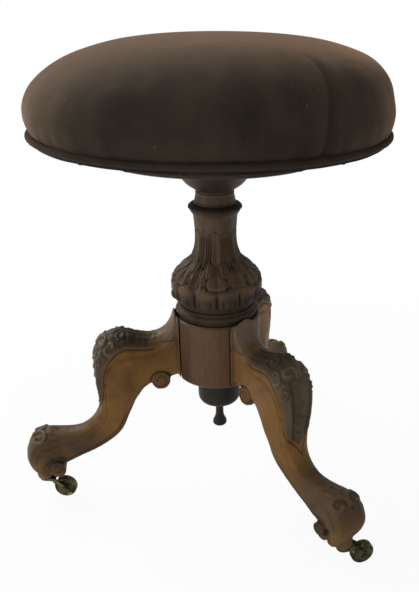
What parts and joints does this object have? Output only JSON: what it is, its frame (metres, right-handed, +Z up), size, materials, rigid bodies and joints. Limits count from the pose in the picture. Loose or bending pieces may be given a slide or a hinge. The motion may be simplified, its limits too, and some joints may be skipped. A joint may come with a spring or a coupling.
{
  "type": "piano stool",
  "caption": "Revolving piano stool: domed velvet cushion on a steel screw, gadrooned pillar with drop finial, cabriole legs with scroll toes on swivelling brass castors.",
  "frame": {"origin": "on the floor, on the pillar's axis, which the seat turns about", "axes": "+Z up along the screw; the right leg bears -53 degrees from +X, the left leg -173 and the back leg +67; the picture looks along +Y"},
  "size_m": [0.3802, 0.3743, 0.4837],
  "materials": {
    "walnut": "carved walnut, french polished, worn to gold on the legs' sides",
    "walnut_light": "polished walnut sides of the legs",
    "ebonised": "ebonised turned wood",
    "pine": "plain sawn softwood under the upholstery",
    "velvet": "dark brown velvet pile",
    "calico": "black bottoming cloth",
    "brass": "aged brass with a green-brown patina",
    "iron": "black iron",
    "steel": "oiled steel",
    "leather": "dark leather"
  },
  "bodies": {
    "base": {"pillar": "walnut", "hub": "walnut", "drop_boss": "ebonised", "drop_finial": "ebonised", "nut": "iron", "leg_right": "walnut_light", "leg_left": "walnut_light", "leg_back": "walnut_light", "castor_plate_right": "brass", "castor_plate_left": "brass", "castor_plate_back": "brass"},
    "thrust": {"washer": "leather"},
    "seat": {"screw": "steel", "screw_plate": "iron", "plate_screw_1": "steel", "plate_screw_2": "steel", "plate_screw_3": "steel", "seat_boss": "walnut", "under_disc": "walnut", "bottoming": "calico", "seat_board": "pine", "welt": "velvet", "cushion": "velvet"},
    "horn_right": {"castor_horn_right": "brass", "castor_axle_right": "steel"},
    "wheel_right": {"castor_wheel_right": "brass"},
    "horn_left": {"castor_horn_left": "brass", "castor_axle_left": "steel"},
    "wheel_left": {"castor_wheel_left": "brass"},
    "horn_back": {"castor_horn_back": "brass", "castor_axle_back": "steel"},
    "wheel_back": {"castor_wheel_back": "brass"}
  },
  "joints": [
    {"name": "seat_rise", "type": "slide", "parent": "base", "child": "thrust", "axis": [0, 0, 1], "range_m": [0, 0.07]},
    {"name": "seat_spin", "type": "hinge", "parent": "thrust", "child": "seat", "pos_m": [0, 0, 0.345], "axis": [0, 0, 1], "range_deg": [0, 2520]},
    {"name": "swivel_right", "type": "hinge", "parent": "base", "child": "horn_right", "pos_m": [0.11784, -0.15638, 0.024], "axis": [0, 0, 1], "continuous": true},
    {"name": "roll_right", "type": "hinge", "parent": "horn_right", "child": "wheel_right", "pos_m": [0.13822, -0.1513, 0.012], "axis": [-0.2419, 0.9703, 0], "continuous": true},
    {"name": "swivel_left", "type": "hinge", "parent": "base", "child": "horn_left", "pos_m": [-0.19435, -0.02386, 0.024], "axis": [0, 0, 1], "continuous": true},
    {"name": "roll_left", "type": "hinge", "parent": "horn_left", "child": "wheel_left", "pos_m": [-0.17355, -0.02679, 0.012], "axis": [0.1392, 0.9903, 0], "continuous": true},
    {"name": "swivel_back", "type": "hinge", "parent": "base", "child": "horn_back", "pos_m": [0.07651, 0.18024, 0.024], "axis": [0, 0, 1], "continuous": true},
    {"name": "roll_back", "type": "hinge", "parent": "horn_back", "child": "wheel_back", "pos_m": [0.09748, 0.18134, 0.012], "axis": [-0.0523, 0.9986, 0], "continuous": true}
  ],
  "couplings": [
    {"joint": "seat_rise", "follows": "seat_spin", "m_per_rad": 0.0015915}
  ]
}
